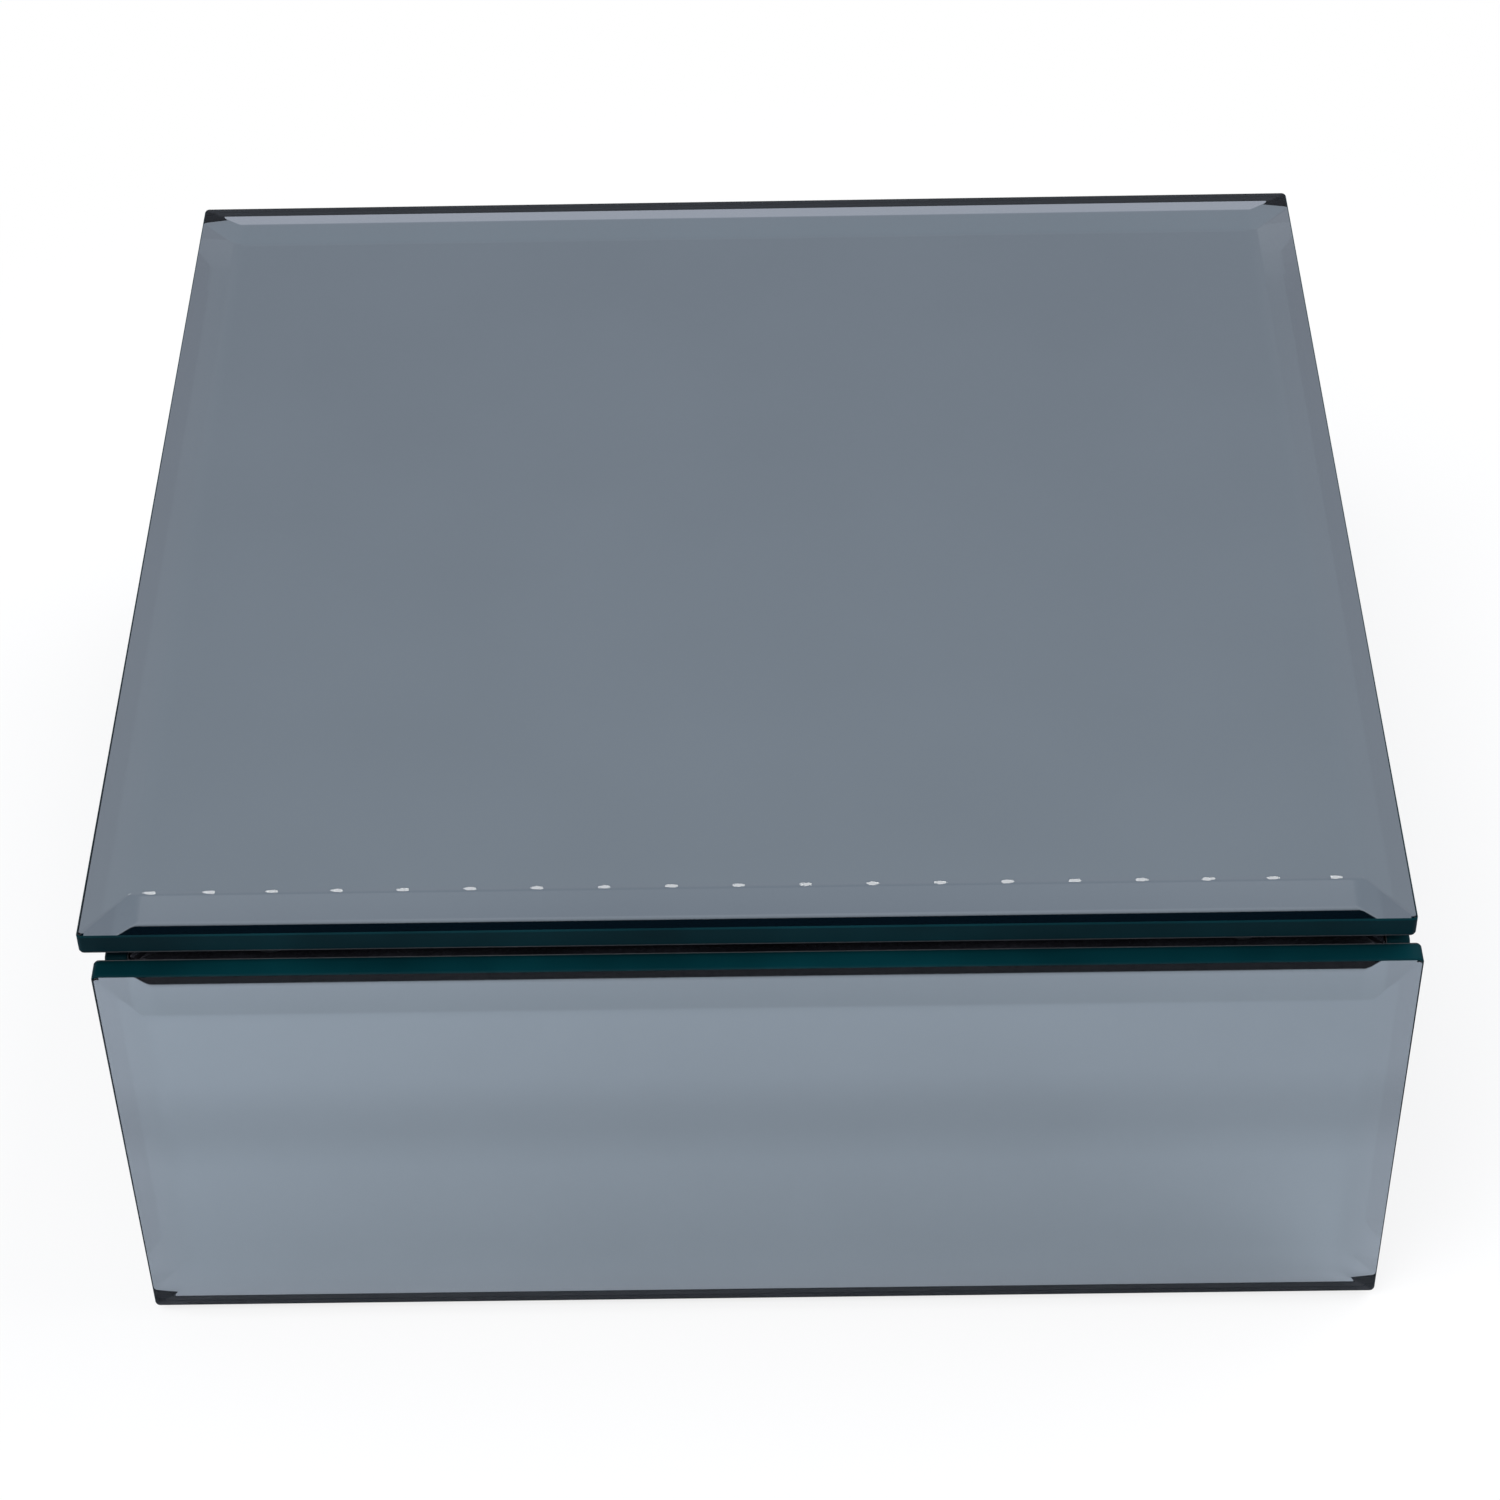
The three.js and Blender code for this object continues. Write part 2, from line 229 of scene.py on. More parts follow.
def round_rectangles(half_wide, half_high, radius, corner_steps, side_steps=1):
    """Rings of points round rectangles with round corners, one ring for each entry of the arrays.

    A corner's points are its centre plus radius times the unit vector at an angle that runs over
    a quarter turn, and a side's points divide the line between two corners evenly. Returns the
    points and the unit vectors that point out of the outline."""
    turn = (np.arange(4)[:, None] + np.linspace(0, 1, corner_steps + 1)) * pi / 2
    out = np.stack([np.cos(turn), np.sin(turn)], -1)
    sign = np.array([[1, 1], [-1, 1], [-1, -1], [1, -1]])[:, None, :]
    half = np.stack([half_wide, half_high], -1)[:, None, None, :]
    radius = np.asarray(radius)[:, None, None, None]
    arcs = sign * (half - radius) + radius * out
    share = (np.arange(1, side_steps) / side_steps)[:, None]
    ends = np.roll(arcs, -1, axis=1)[:, :, :1]
    sides = arcs[:, :, -1:] * (1 - share) + ends * share
    out_sides = np.repeat(out[:, -1:], side_steps - 1, axis=1)
    points = np.concatenate([arcs, sides], 2)
    return points.reshape(len(points), -1, 2), np.concatenate([out, out_sides], 1).reshape(-1, 2)


def plate_profile(glass, thick):
    """A plate's section from its back to its face, as one row for each ring.

    Returns inset and height of each ring, and for each strip between rings the tilt of the
    surface above the plate's plane at its lower and upper ring. The ridge is an arc that touches
    both the bevel and the face, so its tilt runs evenly from one to the other."""
    slope = atan2(thick - glass.rim, glass.bevel)
    radius = glass.ridge / tan(slope / 2)
    turn = np.linspace(slope, 0, glass.ridge_steps + 1)
    ridge_inset = glass.bevel + glass.ridge - radius * np.sin(turn)
    ridge_height = thick - radius * (1 - np.cos(turn))
    edge = [0, glass.arris, glass.rim - glass.arris, glass.rim + glass.arris * tan(slope)]
    inset = np.concatenate([[glass.arris, 0, 0, glass.arris], ridge_inset])
    height = np.concatenate([edge, ridge_height])
    tilts = pi / 2 - turn
    arris = pi / 4
    strips = [-arris, 0, arris, tilts[0]]
    return inset, height, [*strips, *tilts[:-1]], [*strips, *tilts[1:]]


def raised(flat, level):
    """Rings of flat points, lifted to one level for each ring or each point."""
    return np.concatenate([flat, np.broadcast_to(level, flat.shape[:2])[..., None]], -1)


def mirror_plate(name, glass, materials):
    """One bevelled plate: round rectangles stacked along the plate's section, with flat caps.

    A surface normal is the ring's outward vector times the cosine of the strip's tilt, plus the
    face's direction times its sine, so bevels and faces stay optically flat. A thin slab of
    backing paint lies just behind the plate."""
    body, across, up, out = MIRRORS[name]
    low, high = np.array(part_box(name))
    middle = (low + high) / 2
    axes = np.stack([across, up, out])
    half_wide, half_high, half_thick = np.abs(axes @ (high - low)) / 2
    inset, height, tilt_low, tilt_high = plate_profile(glass, 2 * half_thick)

    def stacked(inset, radius, level):
        wide, high = half_wide - inset, half_high - inset
        flat, outward = round_rectangles(wide, high, radius, glass.corner_steps)
        return raised(flat, level[:, None]).reshape(-1, 3) @ axes + middle, outward

    def tilted(tilt):
        return raised(outward * np.cos(tilt)[:, None, None], np.sin(tilt)[:, None])

    points, outward = stacked(inset, np.maximum(glass.corner - inset, glass.mitre), height - half_thick)
    rings, around = len(inset), len(outward)
    points, faces = capped(points, rings, around)
    lower, upper = tilted(tilt_low), tilted(tilt_high)
    after = (np.arange(around) + 1) % around
    corners = np.stack([lower, lower[:, after], upper[:, after], upper], 2).reshape(-1, 3)
    caps = np.repeat([[0.0, 0, -1], [0, 0, 1]], around, axis=0)
    ground_strips = 3
    clear, ground, silver = 0, 1, 2
    strips = [ground] * (ground_strips * around) + [clear] * ((rings - 1 - ground_strips) * around)
    normals = np.concatenate([corners, caps]) @ axes
    glass_name = name.replace("mirror", "glass")
    slots = [*strips, silver, clear]
    new_piece(glass_name, points, faces, materials[:3], body, "mirror_glass", name, normals, slots)
    film = np.array([1.2, 1.2, 0.2, 0.2]) * glass.paint
    edge = np.array([2, 1, 1, 2]) * glass.paint
    points, _ = stacked(edge, np.full(4, glass.corner), -(half_thick + film))
    coat = capped(points, len(film), around)
    new_piece(name.replace("mirror", "paint"), *coat, materials[3:], body, "mirror_glass")


def capped(points, rings, around):
    """Quads between the rings of a closed surface and a flat cap on its first and last ring."""
    caps = [list(range(around))[::-1], list(range((rings - 1) * around, rings * around))]
    return points, ring_quads(rings, around).tolist() + caps


def turned(profile, axis, start, steps=48):
    """A body of revolution: the profile's [radius, height] pairs, turned about an axis.

    A point is the start plus its height along the axis plus its radius times the unit vector at
    an angle round the axis."""
    side = np.cross(axis, X if abs(axis @ X) < 0.5 else Y)
    side /= np.linalg.norm(side)
    angle = np.linspace(0, 2 * pi, steps, endpoint=False)
    spoke = np.cos(angle)[:, None] * side + np.sin(angle)[:, None] * np.cross(axis, side)
    radius, height = np.asarray(profile, float).T
    rings = start + (radius[:, None, None] * spoke + height[:, None, None] * axis)
    return capped(rings.reshape(-1, 3), len(profile), steps)


def soft_slab(low, high, axes, roll, corner, crown, wave, side_steps=40, rings_in=26):
    """A cloth-covered slab between two corners: its back flat, its edges rolled, its face crowned.

    The rings run up the side, round the roll, a quarter circle, and then inwards over the face.
    The face rises by the crown from the roll to the middle as one minus the fourth power of the
    way out, and slow sine waves lift and drop it by up to the wave."""
    axes = np.array(axes)
    half_wide, half_high, half_thick = np.abs(axes @ (high - low)) / 2
    shoulder = 2 * half_thick - crown - wave
    foot = min(roll, shoulder - roll) / 2
    arc_steps, innermost, least_corner, most_corner = 6, 0.96, 0.3, 0.9
    turn = np.linspace(0, pi / 2, arc_steps + 1)
    reach = min(half_wide, half_high) - roll
    inward = np.linspace(0, innermost, rings_in)[1:]
    over, down = 1 - np.cos(turn), 1 - np.sin(turn)
    inset = np.concatenate([foot * down, roll * over, roll + reach * inward])
    height = np.concatenate([foot * over, shoulder - roll * down, np.full(len(inward), shoulder)])
    bulge = np.concatenate([np.zeros(2 * len(turn)), 1 - (1 - inward) ** 4])
    wide, high_side = half_wide - inset, half_high - inset
    radius = np.maximum(corner - inset, roll * least_corner)
    radius = np.minimum(radius, np.minimum(wide, high_side) * most_corner)
    flat, _ = round_rectangles(wide, high_side, radius, arc_steps, side_steps)
    rings, around = flat.shape[:2]
    ripple = slow_waves(flat[..., 0], flat[..., 1])
    deep = height[:, None] - half_thick + bulge[:, None] * (crown + wave * ripple)
    points = raised(flat, deep).reshape(-1, 3) @ axes + (low + high) / 2
    return capped(points, rings, around)


def slow_waves(u, v):
    """Two crossing sine waves and a slanted one, from minus one to one, a few centimetres long."""
    crossing = np.sin(u * 150 + 1.3) * np.sin(v * 130 + 0.4)
    return (crossing + 0.6 * np.sin(u * 61 - v * 97)) / 1.6


def carried(section, along, ends, slack, out):
    """A closed section carried along a straight wall, each point to its own end, so that it mitres.

    A point is its place along the wall, which is its station times its own half length, plus its
    section's outward distance and height. The stations crowd a little towards the ends. There the
    section draws in by the slack, as cloth does where it is tucked into a corner."""
    steps, crowding, tuck_rate = 76, 0.35, 60
    even = np.linspace(-1, 1, steps + 1)
    station = crowding * np.sin(even * pi / 2) + (1 - crowding) * even
    tuck = np.exp(-((1 - np.abs(station)) * tuck_rate))
    place, normal = section
    flat = place[None] - slack * tuck[:, None, None] * normal[None]
    run = station[:, None] * ends[None]
    points = run[..., None] * along + flat[..., :1] * out + flat[..., 1:] * Z
    return capped(points.reshape(-1, 3), steps + 1, len(place))


def arc(centre, radius, start, stop, steps):
    """Points round an arc, angles in degrees from the first axis."""
    turn = np.radians(np.linspace(start, stop, steps + 1))
    return np.asarray(centre) + radius * np.stack([np.cos(turn), np.sin(turn)], -1)


def line(start, stop, steps):
    """Points along a line, without its ends."""
    share = (np.arange(1, steps) / steps)[:, None]
    return np.asarray(start) * (1 - share) + np.asarray(stop) * share


def prism(outline, start, stop):
    """A closed outline in the second and third axes, pushed along the first from start to stop."""
    ends = [np.column_stack([np.full(len(outline), x), outline]) for x in (start, stop)]
    return capped(np.concatenate(ends), 2, len(outline))


def combined(base, *steps):
    """A closed shell that others are joined to or cut from, in order, as points and faces.

    The work is done in millimetres, where the Boolean's tolerance suits thin metal."""
    made = []
    for points, faces in (base, *(tool for _, tool in steps)):
        mesh = new_mesh("work", np.asarray(points) / MM, faces)
        face_outwards(mesh)
        made.append(add_object("work", mesh))
    for (operation, _), tool in zip(steps, made[1:]):
        modifier = made[0].modifiers.new(operation, "BOOLEAN")
        modifier.operation = operation
        modifier.object = tool
        modifier.solver = "EXACT"
    mesh = evaluated(made[0]).to_mesh()
    points = points_of(mesh) * MM
    faces = [list(polygon.vertices) for polygon in mesh.polygons]
    for item in made:
        bpy.data.meshes.remove(item.data)
    return points, faces


def soften(piece, width, angle=30):
    """Breaks a piece's sharp edges with a bevel that hardens the normals of the faces beside it."""
    bevel = piece.modifiers.new("broken edges", "BEVEL")
    bevel.width = width
    bevel.segments = 2
    bevel.limit_method = "ANGLE"
    bevel.angle_limit = radians(angle)
    bevel.harden_normals = True


def inflate(piece, cloth):
    """Blows a pad up as cloth, keeps it inside its box, and leaves the result in its mesh.

    No point moves further than the shrink, and the pad's back stays flat on what it lies on."""
    low, high = np.array(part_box(piece.name.replace("cushion", "pad")))
    remesh = piece.modifiers.new("voxels", "REMESH")
    remesh.voxel_size = cloth.voxel
    mesh = bpy.data.meshes.new_from_object(evaluated(piece))
    piece.modifiers.clear()
    piece.data = mesh
    start = points_of(mesh)
    scene = bpy.context.scene
    sim = piece.modifiers.new("cloth", "CLOTH")
    sim.settings.use_pressure = True
    sim.settings.uniform_pressure_force = cloth.pressure
    sim.settings.effector_weights.gravity = 0
    last_frame = 20
    for frame_number in range(1, last_frame + 1):
        scene.frame_set(frame_number)
    step = points_of(evaluated(piece).to_mesh()) - start
    piece.modifiers.clear()
    scene.frame_set(1)
    tiny = 1e-9
    reach = np.maximum(np.linalg.norm(step, axis=1, keepdims=True), tiny)
    step *= np.minimum(1, cloth.shrink / reach)
    points = np.clip(start + step, low, high)
    mesh.vertices.foreach_set("co", points.ravel())
    mesh.update()


# ---- Materials ----


def connect(tree, socket, value):
    """Links a node's input to another node's socket, or sets it to a plain value."""
    if isinstance(value, bpy.types.NodeSocket):
        tree.links.new(value, socket)
    else:
        socket.default_value = value


def node_maker(tree):
    """A function that adds a node to a tree and connects its inputs."""

    def node(kind, inputs=(), **values):
        made = tree.nodes.new(kind)
        for key, value in values.items():
            setattr(made, key, value)
        for key, value in dict(inputs).items():
            connect(tree, made.inputs[key], value)
        return made

    return node


def new_material(name):
    """An empty node material, its Principled shader, and a function that adds nodes."""
    material = bpy.data.materials.new(name)
    material.use_nodes = True
    tree = material.node_tree
    return material, tree.nodes["Principled BSDF"], node_maker(tree)


def set_shader(shader, **values):
    """Sets or links a shader's own sockets: base_color is "Base Color"."""
    for key, value in values.items():
        words = (word.upper() if word == "ior" else word.capitalize() for word in key.split("_"))
        connect(shader.id_data, shader.inputs[" ".join(words)], value)


def object_place(node, scale=(1, 1, 1)):
    """Object coordinates, stretched by a scale along each axis."""
    place = node("ShaderNodeTexCoord").outputs["Object"]
    return node("ShaderNodeMapping", {"Vector": place, "Scale": scale}).outputs["Vector"]


def noise(node, place, size, detail=3.0, rough=0.55):
    """Noise whose marks are about as large as the size."""
    inputs = {"Vector": place, "Scale": 1 / size, "Detail": detail, "Roughness": rough}
    return node("ShaderNodeTexNoise", inputs).outputs["Fac"]


def graded(node, value, stops):
    """A colour ramp; each stop is a position and a colour or a grey."""
    ramp = node("ShaderNodeValToRGB", {"Fac": value})
    elements = ramp.color_ramp.elements
    while len(elements) < len(stops):
        elements.new(0.5)
    for element, (position, tone) in zip(elements, stops):
        element.position = position
        element.color = (*tone, 1) if hasattr(tone, "__len__") else grey(tone)
    return ramp.outputs["Color"]


def between(node, value, low, high, start=0.3, stop=0.7):
    """A colour or grey that runs from low to high as the value runs from start to stop."""
    return graded(node, value, [(start, low), (stop, high)])


def relief(node, shader, height, depth, strength=1.0):
    """A bump of a depth on a shader."""
    bump = node("ShaderNodeBump", {"Height": height, "Strength": strength, "Distance": depth})
    set_shader(shader, normal=bump.outputs["Normal"])


def mapped(node, value, start, stop, low=0.0, high=1.0, **values):
    """A value carried from the range start to stop over to the range low to high."""
    inputs = {"Value": value, "From Min": start, "From Max": stop, "To Min": low, "To Max": high}
    return node("ShaderNodeMapRange", inputs, **values).outputs["Result"]


def mixed(node, share, first, second, blend_type="MIX"):
    """Two colours mixed by a share that is a number or a socket."""
    mix = node("ShaderNodeMix", data_type="RGBA", blend_type=blend_type)
    for number, value in ((0, share), (6, first), (7, second)):
        connect(mix.id_data, mix.inputs[number], value)
    return mix.outputs[2]


def grey(value):
    """A neutral colour."""
    return (value, value, value, 1.0)


def scaled(tone, share):
    """A colour made lighter or darker."""
    return tuple(part * share for part in tone)


def grained(name, cloud_size, dark, light, grain_size, rough, depth, strength):
    """A material with a cloudy colour, and a fine grain in its gloss and its relief."""
    material, shader, node = new_material(name)
    place = object_place(node)
    cloud = noise(node, place, cloud_size)
    grain = noise(node, place, grain_size, 2.0)
    tone, gloss = between(node, cloud, dark, light), between(node, grain, *rough)
    set_shader(shader, base_color=tone, roughness=gloss)
    relief(node, shader, grain, depth, strength)
    return material, shader


def clear_glass():
    """Clear float glass: a smooth dielectric whose faint green shows only along long paths."""
    material, shader, node = new_material("clear_float_glass")
    set_shader(shader, base_color=grey(1.0), roughness=0.0, ior=1.52, transmission_weight=1.0)
    tint = node("ShaderNodeVolumeAbsorption", {"Color": (0.30, 0.80, 0.78, 1.0), "Density": 16.0})
    output = material.node_tree.nodes["Material Output"]
    connect(material.node_tree, output.inputs["Volume"], tint.outputs["Volume"])
    return material


def ground_edge():
    """A ground glass edge: dark green, satin, a little cloudy along its length."""
    dark, light = (0.0004, 0.014, 0.018), (0.0012, 0.028, 0.035)
    rough = (0.32, 0.48)
    finish = grained("ground_glass_edge", 22 * MM, dark, light, 0.25 * MM, rough, 0.01 * MM, 0.3)
    material, shader = finish
    set_shader(shader, specular_ior_level=0.12)
    return material


def silver_back():
    """The silvering on a plate's back, seen through the glass, a little cloudy with age."""
    material, shader, node = new_material("silvering")
    cloud = noise(node, object_place(node), 30 * MM, 2.0)
    silver = between(node, cloud, (0.90, 0.91, 0.90), (0.93, 0.94, 0.93))
    set_shader(shader, base_color=silver, metallic=1.0, roughness=0.0)
    return material


def backing_paint():
    """The grey paint over the silvering: a thin roller coat with a fine orange peel."""
    dark, light = (0.055, 0.06, 0.065), (0.08, 0.085, 0.09)
    return grained("backing_paint", 12 * MM, dark, light, 0.7 * MM, (0.4, 0.6), 0.04 * MM, 0.5)[0]


def velvet(pile):
    """Short black pile: fine tufts, slow marks where it was brushed, and a sheen at the edges."""
    material, shader, node = new_material("black_velvet")
    tufts = noise(node, object_place(node), 0.45 * MM, 4.0, 0.7)
    nap = noise(node, object_place(node, (1, 1.6, 0.7)), 16 * MM)
    brushed = between(node, nap, scaled(pile, 0.55), scaled(pile, 2.4), 0.32, 0.68)
    speck = between(node, tufts, 0.55, 1.5)
    relief(node, shader, tufts, 0.25 * MM, 0.8)
    tone = mixed(node, 1.0, brushed, speck, "MULTIPLY")
    rough = between(node, nap, 0.8, 1.0)
    set_shader(shader, base_color=tone, roughness=rough, specular_ior_level=0.05)
    set_shader(shader, sheen_weight=0.35, sheen_roughness=0.38, sheen_tint=(0.55, 0.58, 0.66, 1.0))
    return material


def felt(wool):
    """Needled felt: short fibres that lie both ways, with pale specks."""
    material, shader, node = new_material("black_felt")
    one_way = noise(node, object_place(node, (0.25, 1, 1)), 0.4 * MM, 4.0, 0.7)
    other_way = noise(node, object_place(node, (1, 0.25, 1)), 0.4 * MM, 4.0, 0.7)
    fibres = mixed(node, 0.5, one_way, other_way)
    base = between(node, fibres, scaled(wool, 0.5), scaled(wool, 1.8))
    speck = between(node, noise(node, object_place(node), 1.2 * MM, 2.0), 0.0, 0.05, 0.66, 0.74)
    relief(node, shader, fibres, 0.3 * MM, 0.9)
    tone = mixed(node, 1.0, base, speck, "ADD")
    rough = between(node, one_way, 0.85, 1.0)
    set_shader(shader, base_color=tone, roughness=rough, specular_ior_level=0.1)
    set_shader(shader, sheen_weight=0.2, sheen_roughness=0.5)
    return material


def nickel():
    """Nickel plate on pressed steel: bright, drawn along X, with a few dull finger marks."""
    material, shader, node = new_material("nickel_plate")
    drawn = noise(node, object_place(node, (0.04, 1, 1)), 0.18 * MM, 4.0, 0.6)
    marks = noise(node, object_place(node), 4 * MM)
    rough = mixed(node, 0.5, between(node, drawn, 0.12, 0.34), between(node, marks, 0.12, 0.42))
    tone = between(node, marks, (0.62, 0.61, 0.585), (0.74, 0.735, 0.72))
    relief(node, shader, drawn, 0.006 * MM, 0.6)
    set_shader(shader, base_color=tone, roughness=rough, metallic=1.0)
    return material


def rubber():
    """Matt black bumper rubber with a moulded grain and a dusty bloom."""
    dark, light = (0.018, 0.018, 0.02), (0.04, 0.04, 0.042)
    return grained("bumper_rubber", 2 * MM, dark, light, 0.2 * MM, (0.5, 0.75), 0.03 * MM, 0.6)[0]


def fibreboard():
    """Plain fibreboard: fine brown fibres with darker specks."""
    material, shader, node = new_material("fibreboard")
    fibres = noise(node, object_place(node, (0.5, 0.5, 1)), 0.6 * MM, 5.0, 0.7)
    brown = between(node, fibres, (0.19, 0.115, 0.06), (0.33, 0.22, 0.13))
    patches = noise(node, object_place(node), 1.5 * MM, 3.0, 0.7)
    specks = between(node, patches, 0.45, 1.0, 0.32, 0.42)
    relief(node, shader, fibres, 0.08 * MM, 0.6)
    tone = mixed(node, 1.0, brown, specks, "MULTIPLY")
    set_shader(shader, base_color=tone, roughness=between(node, fibres, 0.75, 0.92))
    return material


def board_wrap():
    """Black book cloth over the lid's board: a plain weave, thread over thread."""
    material, shader, node = new_material("board_wrap")
    place = object_place(node)
    thread, waves_to_threads = 0.4 * MM, 0.314
    waves = []
    for direction in ("X", "Y"):
        scale = waves_to_threads / thread
        inputs = {"Vector": place, "Scale": scale, "Distortion": 0.6, "Detail": 1.0}
        waves.append(node("ShaderNodeTexWave", inputs, bands_direction=direction).outputs["Fac"])
    weave = mixed(node, 0.5, *waves)
    relief(node, shader, weave, 0.08 * MM, 0.7)
    tone = between(node, weave, (0.008, 0.008, 0.009), (0.028, 0.028, 0.031))
    rough = between(node, noise(node, place, 6 * MM), 0.6, 0.85)
    set_shader(shader, base_color=tone, roughness=rough)
    return material


# ---- Pieces ----


def wall_lining(side, cloth, cover):
    """The velvet of one wall: over the wall's top, round the fold and down the inner face.

    The section is the wrapped card's outline. Its inner face swells by slow waves, and each point
    ends on the 45 degree line through the corner, where the next wall's lining begins."""
    node = f"{side}_lining"
    _, along, _, out = MIRRORS[f"{side}_mirror"]
    low, high = np.array(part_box(node))
    inner, outer = sorted((out @ low, out @ high))
    outer += cloth.lap
    wall_inner = min(np.array(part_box(f"{side}_wall")) @ out)
    half = max(abs(np.array(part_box("base_board")) @ along)) + cloth.lap
    backing = 0.1
    back = wall_inner - (wall_inner - inner) * backing
    fold, tuck = cloth.fold, cloth.tuck
    top, foot = high[2], low[2] + tuck
    face_steps, top_steps = 30, 8
    parts = [
        [(back, low[2]), (back, top - 2 * tuck)],
        arc((outer - tuck, top - tuck), tuck, -90, 90, 6),
        line((outer - tuck, top), (inner + fold, top), top_steps),
        arc((inner + fold, top - fold), fold, 90, 180, 8),
        line((inner, top - fold), (inner, foot), face_steps),
        arc((inner + tuck, foot), tuck, 180, 270, 4),
    ]
    section = np.concatenate(parts)
    ahead = np.roll(section, -1, axis=0) - np.roll(section, 1, axis=0)
    normal = np.stack([ahead[:, 1], -ahead[:, 0]], -1)
    normal /= np.linalg.norm(normal, axis=1, keepdims=True)
    ends = half - (outer - section[:, 0]) - cloth.mitre_gap
    points, faces = carried((section, normal), along, ends, 2 * tuck, out)
    reach, rise = points @ along, points[:, 2]
    on_face = (points @ out < inner + fold) & (rise > low[2] + fold)
    swell = cloth.wave * slow_waves(reach, rise * 1.4) * np.clip((top - rise) / fold - 1, 0, 1)
    points = points + np.where(on_face, np.abs(swell), 0)[:, None] * out
    piece = new_piece(f"{side}_velvet", points, faces, [cover], "box", "velvet", node)


def floor_cushion(cloth, cover):
    """The loose pad on the floor, blown up as cloth from a slightly smaller slab."""
    low, high = np.array(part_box("floor_pad"))
    room = np.array([cloth.shrink, cloth.shrink, 0])
    soft = (cloth.pad_roll, cloth.pad_corner, cloth.crown, cloth.wave)
    shape = soft_slab(low + room, high - room, (X, Y, Z), *soft)
    piece = new_piece("floor_cushion", *shape, [], "box", "velvet", "floor_pad")
    inflate(piece, cloth)
    piece.data.materials.clear()
    piece.data.materials.append(cover)
    piece.data.shade_smooth()
    smooth = piece.modifiers.new("smooth", "SUBSURF")
    smooth.levels = smooth.render_levels = 1


def lid_cushion(cloth, cover):
    """The velvet on card inside the lid: a thin slab whose face looks down."""
    low, high = np.array(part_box("lid_lining"))
    thick = high[2] - low[2]
    soft = (thick * 0.45, cloth.pad_corner, thick * 0.25, cloth.wave * 0.6)
    shape = soft_slab(low, high, (X, -Y, -Z), *soft)
    piece = new_piece("lid_velvet", *shape, [cover], "lid", "velvet", "lid_lining")


def felt_sheet(cloth):
    """The die-cut felt: a thin slab with round corners and a softly uneven edge."""
    low, high = np.array(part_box("base_felt"))
    thick = high[2] - low[2]
    soft = (thick * 0.3, cloth.felt_corner, thick * 0.02, thick * 0.05)
    points, faces = soft_slab(low, high, (X, -Y, -Z), *soft, side_steps=60)
    angle = np.arctan2(points[:, 1], points[:, 0])
    reach = np.linalg.norm(points[:, :2], axis=1)
    drawn_in = cloth.fray * (np.sin(angle * 173) + np.sin(angle * 97 + 2) - 2)
    points[:, :2] *= (1 + drawn_in / reach)[:, None]
    wool = felt(cloth.felt)
    piece = new_piece("felt_sheet", points, faces, [wool], "box", "felt", "base_felt")


def bumper(side, grip):
    """A bumper turned about its upright axis: a flat foot, a waist and a domed top."""
    node = f"bumper_{side}"
    low, high = np.array(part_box(node))
    radius, tall = (high[0] - low[0]) / 2, high[2] - low[2]
    wall = [(radius * 0.9, 0), (radius, tall * 0.06), (radius, tall * 0.2), (radius * 0.96, tall * 0.3)]
    turn = np.linspace(0, pi / 2, 10)[:-1]
    dome = [(radius * 0.94 * cos(a), tall * (0.35 + 0.65 * sin(a))) for a in turn]
    shape = turned(wall + dome, Z, top_of(low, high) - tall * Z)
    new_piece(f"{side}_bumper", *shape, [grip], "box", "rubber", node)


def curl(sizes, radius, flip):
    """A rolled knuckle's outline across the pin: the tail, once round the pin, and back inside.

    Angles run from the tail's near face round to a seam just past the tail's far face. The flip
    is 1 for a leaf whose tail lies below the axis and -1 for one above it."""
    near = -(sizes.leaf_gap / 2 + sizes.leaf)
    far = -sizes.leaf_gap / 2
    tail = -(sizes.keep_off + sizes.leaf)
    start = 180 + degrees(asin(-near / radius))
    inside = 180 + degrees(asin(-far / sizes.bore))
    seam_width = 5
    seam = 180 + degrees(asin(-far / radius)) - seam_width
    around = arc((0, 0), radius, start, 360 + seam, 40)
    back = arc((0, 0), sizes.bore, 360 + seam - 2, inside, 30)
    return np.concatenate([[(tail, far), (tail, near)], around, back]) * (1, flip)


def top_of(low, high):
    """The middle of a box's upper side."""
    return np.array([*((low + high) / 2)[:2], high[2]])


def screw_room(sizes, place):
    """The countersunk room for a screw's head in a leaf."""
    wide, narrow = sizes.head + sizes.clearance, sizes.shank + sizes.clearance
    profile = [(narrow, -2 * sizes.leaf), (narrow, -sizes.leaf * 0.95), (wide, 0), (wide, sizes.leaf)]
    return turned(profile, Z, place, 40)


def leaf_plate(sizes, middle, rear, level, half):
    """A leaf's flat part: a rectangle with round corners at its screwed end."""
    far, radius = -sizes.keep_off, sizes.corner
    along, across = rear - middle[1] + radius, half - radius
    first, last = arc((along, -across), radius, 180, 270, 8), arc((along, across), radius, 90, 180, 8)
    outline = np.concatenate([first, [(far, -half), (far, half)], last])
    points, faces = prism(outline, level, level + sizes.leaf)
    return points[:, [2, 1, 0]] + middle, faces


